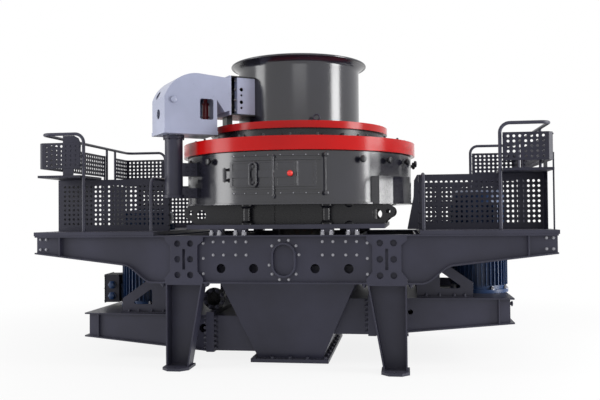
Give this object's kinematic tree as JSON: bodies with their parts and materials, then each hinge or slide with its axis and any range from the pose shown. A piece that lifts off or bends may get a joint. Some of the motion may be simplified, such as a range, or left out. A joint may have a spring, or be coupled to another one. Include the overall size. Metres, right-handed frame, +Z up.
{
  "type": "vertical shaft impact crusher",
  "caption": "Vertical shaft impact crusher on a four-legged girder frame, with guarded decks, belt drive boxes, standing motors and a hopper lid that a jib lifts and swings.",
  "frame": {"origin": "on the ground at the middle of the four feet, under the crushing drum's axis", "axes": "+Z up along the rotor's axis, +X along the girders to the right, -Y towards the front with the hatch"},
  "size_m": [5, 2.5454, 3.076],
  "materials": {
    "frame_paint": "satin dark blue-grey paint",
    "panel_paint": "satin dark blue-grey paint",
    "gloss_paint": "glossy dark blue-grey paint",
    "black_paint": "satin black paint",
    "ring_red": "bright red paint",
    "jib_grey": "satin light grey paint",
    "jack_red": "dark red paint",
    "motor_blue": "blue paint",
    "rod_steel": "ground steel",
    "cast_parts": "worn cast iron"
  },
  "bodies": {
    "frame": {"front_girder": "frame_paint", "back_girder": "frame_paint", "cross_beams": "frame_paint", "head_plates": "frame_paint", "girder_ports": "frame_paint", "leg_front_left": "frame_paint", "leg_front_right": "frame_paint", "leg_back_left": "frame_paint", "leg_back_right": "frame_paint", "seat_plate": "frame_paint", "chamber_base": "black_paint", "drum": "gloss_paint", "side_cover": "gloss_paint", "hatch_frame": "gloss_paint", "rotor": "cast_parts", "discharge_chute": "frame_paint", "bearing_housing": "cast_parts", "drain_stub": "black_paint", "drive_box_left": "frame_paint", "drive_box_right": "frame_paint", "drive_links": "frame_paint", "hanger_plates": "frame_paint", "motor_left": "motor_blue", "motor_right": "motor_blue", "terminal_boxes": "panel_paint", "deck_left": "frame_paint", "deck_right": "frame_paint", "guard_front_left": "panel_paint", "guard_front_right": "panel_paint", "guards_back": "panel_paint", "guard_side": "panel_paint", "basket_left": "panel_paint", "basket_right": "panel_paint", "handrail_left": "frame_paint", "handrail_right": "frame_paint", "jib_column": "frame_paint"},
    "lift": {"lift_rod": "rod_steel"},
    "lid": {"lid_ring": "ring_red", "lid_crown": "black_paint", "top_ring": "ring_red", "hopper": "gloss_paint", "hopper_bracket": "black_paint", "jib_box": "jib_grey", "jib_jack": "jack_red"},
    "door": {"hatch_door": "gloss_paint"}
  },
  "joints": [
    {"name": "lid_lift", "type": "slide", "parent": "frame", "child": "lift", "axis": [0, 0, 1], "range_m": [0, 0.2]},
    {"name": "lid_swing", "type": "hinge", "parent": "lift", "child": "lid", "pos_m": [-1.14614, -0.85011, 2.268], "axis": [0, 0, 1], "range_deg": [-100, 0]},
    {"name": "door_swing", "type": "hinge", "parent": "frame", "child": "door", "pos_m": [-0.56249, -1.10396, 1.846], "axis": [0, 0, 1], "range_deg": [-110, 0]}
  ]
}
